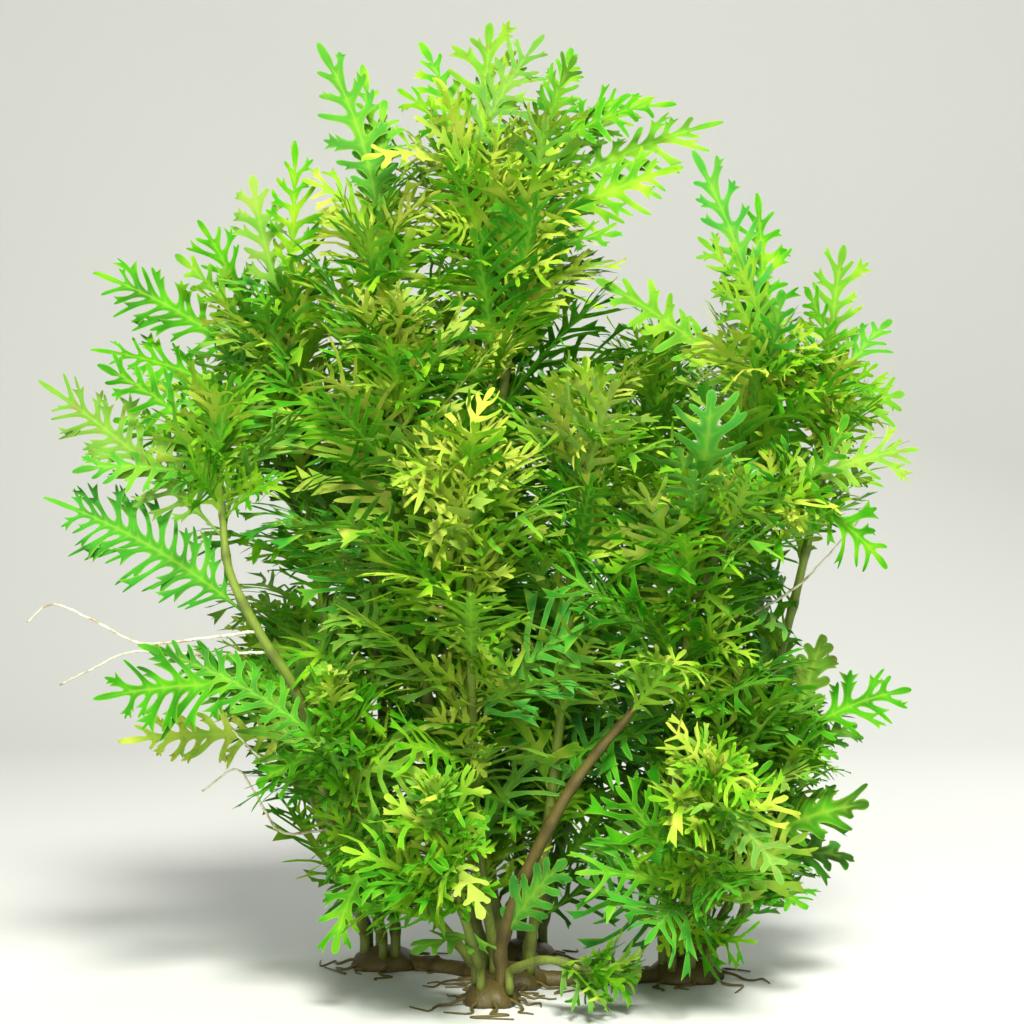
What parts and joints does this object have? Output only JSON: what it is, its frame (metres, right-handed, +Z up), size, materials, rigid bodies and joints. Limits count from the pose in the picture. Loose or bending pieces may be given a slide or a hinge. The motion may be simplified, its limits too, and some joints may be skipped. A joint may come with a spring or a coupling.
{
  "type": "water wisteria",
  "caption": "Dense upright clump of water wisteria with deeply lobed green leaves, leafy stems and fine water roots, cut flat at the ground.",
  "frame": {"origin": "on the ground under the middle crown of the creeping base, on its flat underside", "axes": "+Z up along the stems, +X to the right and +Y away from the viewer of the picture"},
  "size_m": [0.3458, 0.2564, 0.3867],
  "materials": {
    "leaf_green": "satin",
    "leaf_yellow": "satin",
    "leaf_deep": "satin",
    "leaf_bluish": "satin",
    "stem": "satin",
    "brown_stem": "matte",
    "root": "matte"
  },
  "bodies": {
    "root": {"creeping_base": "brown_stem", "leaf_bluish": "leaf_bluish", "leaf_dark": "leaf_deep", "leaf_front_hang": "leaf_green", "leaf_left_fern": "leaf_green", "leaf_left_long": "leaf_green", "leaf_left_low": "leaf_green", "leaf_left_out": "leaf_green", "leaf_left_ragged": "leaf_yellow", "leaf_right_arm": "leaf_green", "leaf_right_arm_low": "leaf_green", "leaf_right_floor": "leaf_green", "leaf_right_inner_long": "leaf_green", "leaf_right_low_long": "leaf_green", "leaf_right_low_spire": "leaf_green", "leaf_right_out": "leaf_green", "leaf_right_tall": "leaf_green", "leaf_right_upper": "leaf_green", "leaf_right_upper_short": "leaf_green", "leaf_top_left": "leaf_green", "leaf_top_right": "leaf_green", "leaf_top_right_broad": "leaf_green", "leaf_top_right_long": "leaf_green", "leaf_top_spire": "leaf_green", "leaf_upper_left": "leaf_green", "leaf_upper_left_long": "leaf_green", "leaf_yellow_finger": "leaf_yellow", "root_left_bottom": "root", "root_left_lower": "root", "root_left_middle": "root", "root_left_upper": "root", "root_right": "root", "stem_back": "stem", "stem_back_far_right": "stem", "stem_back_left": "stem", "stem_back_middle": "stem", "stem_back_right": "stem", "stem_brown": "brown_stem", "stem_centre": "stem", "stem_centre_right": "stem", "stem_centre_upper": "stem", "stem_creeping": "stem", "stem_far_right_low": "stem", "stem_front_low": "stem", "stem_left": "stem", "stem_left_back": "stem", "stem_left_front": "stem", "stem_left_low": "stem", "stem_left_upper": "stem", "stem_low_right": "stem", "stem_right": "stem", "stem_right_arm": "stem", "stem_right_front": "stem", "stem_right_inner": "stem", "stem_right_mid": "stem", "stem_right_outer": "stem", "stem_top": "stem", "stem_top_left": "stem", "stem_top_right": "stem", "stem_upper_left": "stem"}
  },
  "joints": []
}
